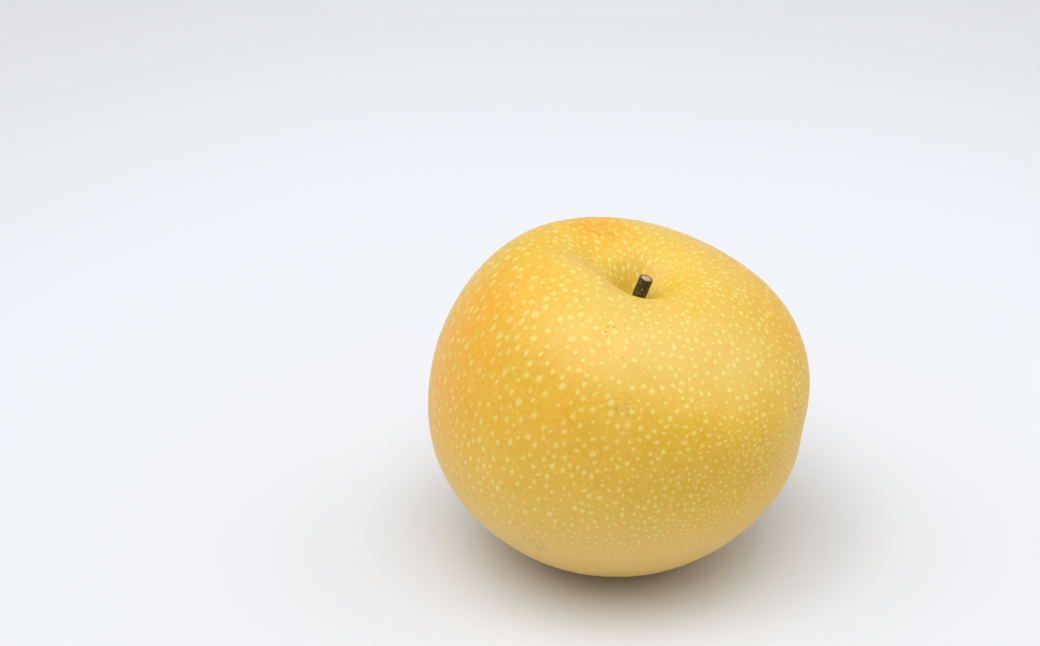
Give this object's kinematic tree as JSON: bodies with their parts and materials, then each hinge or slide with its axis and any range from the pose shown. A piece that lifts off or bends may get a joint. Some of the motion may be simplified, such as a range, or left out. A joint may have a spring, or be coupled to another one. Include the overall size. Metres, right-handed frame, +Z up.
{
  "type": "asian pear",
  "caption": "Round, lopsided golden fruit with a deep stem cavity, a short trimmed stem, fine pale spots all over its skin, and a flattened rim under it that it rests on",
  "frame": {"origin": "centre of the bounding box in X and Y, on the flat rim that the fruit rests on", "axes": "+Z up, along the upright lower half of the fruit; -Y is the front, where the stem cavity opens towards the viewer; +X is the side that the upper half leans to"},
  "size_m": [0.1014, 0.1, 0.0872],
  "materials": {
    "pear_skin": "waxy golden skin, half matt, with small pale spots",
    "stem_bark": "dry dark brown bark with a paler cut end"
  },
  "bodies": {
    "root": {"fruit": "pear_skin", "stem": "stem_bark"}
  },
  "joints": []
}
